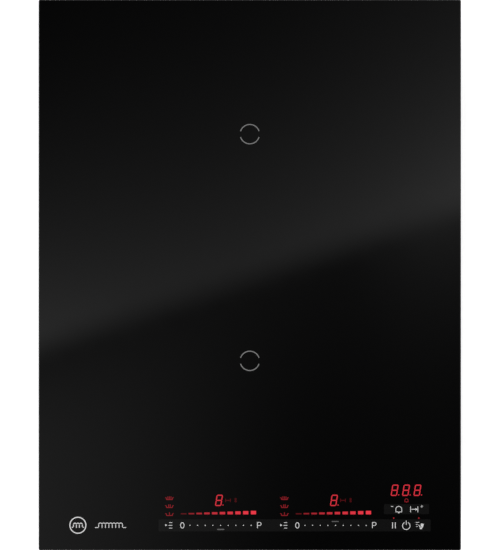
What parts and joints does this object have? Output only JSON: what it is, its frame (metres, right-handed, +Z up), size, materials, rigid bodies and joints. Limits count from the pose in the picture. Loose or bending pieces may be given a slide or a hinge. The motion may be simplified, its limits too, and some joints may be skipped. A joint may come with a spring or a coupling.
{
  "type": "electric induction cooktop",
  "caption": "Built-in induction cooktop with a black bevelled glass plate, round cooking zones, touch sliders and red displays over a sheet-steel housing.",
  "frame": {"origin": "under the centre of the glass plate, at the height of the housing's feet", "axes": "+Z up through the glass, +Y to the rear, +X to the right, controls at -Y"},
  "size_m": [0.384, 0.501, 0.056],
  "materials": {
    "black_glass": "gloss",
    "silicone": "satin",
    "seal_foam": "matte",
    "galvanised_steel": "satin",
    "zinc_steel": "satin",
    "black_plastic": "matte",
    "grey_plastic": "matte",
    "cream_plastic": "matte",
    "white_sheet": "matte",
    "wire_colours": "satin",
    "earth_colour": "satin",
    "black_wire": "satin",
    "board_green": "satin",
    "aluminium": "satin",
    "moulded_black": "satin",
    "capacitor_red": "satin",
    "ferrite": "matte",
    "litz_copper": "satin",
    "copper_choke": "gloss",
    "mica": "matte",
    "sensor_ceramic": "matte",
    "spring_steel": "gloss",
    "display_red": "gloss",
    "lamp_clear": "gloss",
    "pad_foam": "matte",
    "ribbon_grey": "satin",
    "relay_white": "matte",
    "mark_ink": "matte"
  },
  "bodies": {
    "housing": {"glass_top": "black_glass", "glass_bond": "silicone", "worktop_seal": "seal_foam", "support_frame": "galvanised_steel", "bottom_tray": "galvanised_steel", "housing_screws": "zinc_steel", "terminal_cover": "black_plastic", "terminal_block": "cream_plastic", "cable_bush": "black_plastic", "mains_wires": "wire_colours", "earth_wire": "earth_colour", "power_board": "board_green", "board_insulator": "white_sheet", "heat_sink": "aluminium", "power_transistors": "moulded_black", "film_capacitors": "capacitor_red", "filter_choke": "copper_choke", "relays": "relay_white", "board_connectors": "cream_plastic", "fan_housing": "grey_plastic", "fan_motor": "zinc_steel", "fan_lead": "black_wire", "coil_plate": "aluminium", "front_coil_springs": "spring_steel", "front_leads": "litz_copper", "rear_coil_springs": "spring_steel", "rear_leads": "litz_copper", "ui_board": "board_green", "ui_carrier": "black_plastic", "light_frame": "black_plastic", "digit_displays": "display_red", "bar_displays": "display_red", "status_leds": "lamp_clear", "touch_pads": "pad_foam", "ribbon_cable": "ribbon_grey"},
    "fan_wheel": {"fan_impeller": "grey_plastic"},
    "front_coil": {"front_coil_carrier": "black_plastic", "front_winding": "litz_copper", "front_ferrites": "ferrite", "front_coil_mat": "mica", "front_sensor_spring": "spring_steel"},
    "front_sensor": {"front_sensor": "sensor_ceramic"},
    "rear_coil": {"rear_coil_carrier": "black_plastic", "rear_winding": "litz_copper", "rear_ferrites": "ferrite", "rear_coil_mat": "mica", "rear_sensor_spring": "spring_steel"},
    "rear_sensor": {"rear_sensor": "sensor_ceramic"},
    "front_left_screw": {"clamp_screw_front_left": "zinc_steel"},
    "front_left_nut": {"clamp_nut_front_left": "zinc_steel"},
    "front_left_jaw": {"clamp_jaw_front_left": "zinc_steel"},
    "front_right_screw": {"clamp_screw_front_right": "zinc_steel"},
    "front_right_nut": {"clamp_nut_front_right": "zinc_steel"},
    "front_right_jaw": {"clamp_jaw_front_right": "zinc_steel"},
    "rear_left_screw": {"clamp_screw_rear_left": "zinc_steel"},
    "rear_left_nut": {"clamp_nut_rear_left": "zinc_steel"},
    "rear_left_jaw": {"clamp_jaw_rear_left": "zinc_steel"},
    "rear_right_screw": {"clamp_screw_rear_right": "zinc_steel"},
    "rear_right_nut": {"clamp_nut_rear_right": "zinc_steel"},
    "rear_right_jaw": {"clamp_jaw_rear_right": "zinc_steel"}
  },
  "joints": [
    {"name": "fan_spin", "type": "hinge", "parent": "housing", "child": "fan_wheel", "pos_m": [-0.082, 0.16, 0.0135], "axis": [0, 0, 1], "continuous": true},
    {"name": "front_coil_float", "type": "slide", "parent": "housing", "child": "front_coil", "axis": [0, 0, 1], "range_m": [-0.003, 0], "stiffness_N_per_m": 2500, "springref_m": 0.005, "deforming": ["front_coil_springs", "front_leads"]},
    {"name": "front_sensor_float", "type": "slide", "parent": "front_coil", "child": "front_sensor", "axis": [0, 0, 1], "range_m": [-0.002, 0], "stiffness_N_per_m": 300, "springref_m": 0.003, "deforming": ["front_sensor_spring"]},
    {"name": "rear_coil_float", "type": "slide", "parent": "housing", "child": "rear_coil", "axis": [0, 0, 1], "range_m": [-0.003, 0], "stiffness_N_per_m": 2500, "springref_m": 0.005, "deforming": ["rear_coil_springs", "rear_leads"]},
    {"name": "rear_sensor_float", "type": "slide", "parent": "rear_coil", "child": "rear_sensor", "axis": [0, 0, 1], "range_m": [-0.002, 0], "stiffness_N_per_m": 300, "springref_m": 0.003, "deforming": ["rear_sensor_spring"]},
    {"name": "front_left_screw_turn", "type": "hinge", "parent": "housing", "child": "front_left_screw", "pos_m": [-0.1598, -0.165, 0.0085], "axis": [0, 0, 1], "range_deg": [0, 9900]},
    {"name": "front_left_jaw_lift", "type": "slide", "parent": "housing", "child": "front_left_nut", "axis": [0, 0, 1], "range_m": [0, 0.022]},
    {"name": "front_left_jaw_swing", "type": "hinge", "parent": "front_left_nut", "child": "front_left_jaw", "pos_m": [-0.1598, -0.165, 0.0085], "axis": [0, 0, 1], "range_deg": [0, 90]},
    {"name": "front_right_screw_turn", "type": "hinge", "parent": "housing", "child": "front_right_screw", "pos_m": [0.1598, -0.165, 0.0085], "axis": [0, 0, 1], "range_deg": [0, 9900]},
    {"name": "front_right_jaw_lift", "type": "slide", "parent": "housing", "child": "front_right_nut", "axis": [0, 0, 1], "range_m": [0, 0.022]},
    {"name": "front_right_jaw_swing", "type": "hinge", "parent": "front_right_nut", "child": "front_right_jaw", "pos_m": [0.1598, -0.165, 0.0085], "axis": [0, 0, 1], "range_deg": [-90, 0]},
    {"name": "rear_left_screw_turn", "type": "hinge", "parent": "housing", "child": "rear_left_screw", "pos_m": [-0.1598, 0.165, 0.0085], "axis": [0, 0, 1], "range_deg": [0, 9900]},
    {"name": "rear_left_jaw_lift", "type": "slide", "parent": "housing", "child": "rear_left_nut", "axis": [0, 0, 1], "range_m": [0, 0.022]},
    {"name": "rear_left_jaw_swing", "type": "hinge", "parent": "rear_left_nut", "child": "rear_left_jaw", "pos_m": [-0.1598, 0.165, 0.0085], "axis": [0, 0, 1], "range_deg": [-90, 0]},
    {"name": "rear_right_screw_turn", "type": "hinge", "parent": "housing", "child": "rear_right_screw", "pos_m": [0.1598, 0.165, 0.0085], "axis": [0, 0, 1], "range_deg": [0, 9900]},
    {"name": "rear_right_jaw_lift", "type": "slide", "parent": "housing", "child": "rear_right_nut", "axis": [0, 0, 1], "range_m": [0, 0.022]},
    {"name": "rear_right_jaw_swing", "type": "hinge", "parent": "rear_right_nut", "child": "rear_right_jaw", "pos_m": [0.1598, 0.165, 0.0085], "axis": [0, 0, 1], "range_deg": [0, 90]}
  ],
  "couplings": [
    {"joint": "front_left_screw_turn", "follows": "front_left_jaw_lift", "rad_per_m": 7854},
    {"joint": "front_right_screw_turn", "follows": "front_right_jaw_lift", "rad_per_m": 7854},
    {"joint": "rear_left_screw_turn", "follows": "rear_left_jaw_lift", "rad_per_m": 7854},
    {"joint": "rear_right_screw_turn", "follows": "rear_right_jaw_lift", "rad_per_m": 7854}
  ]
}
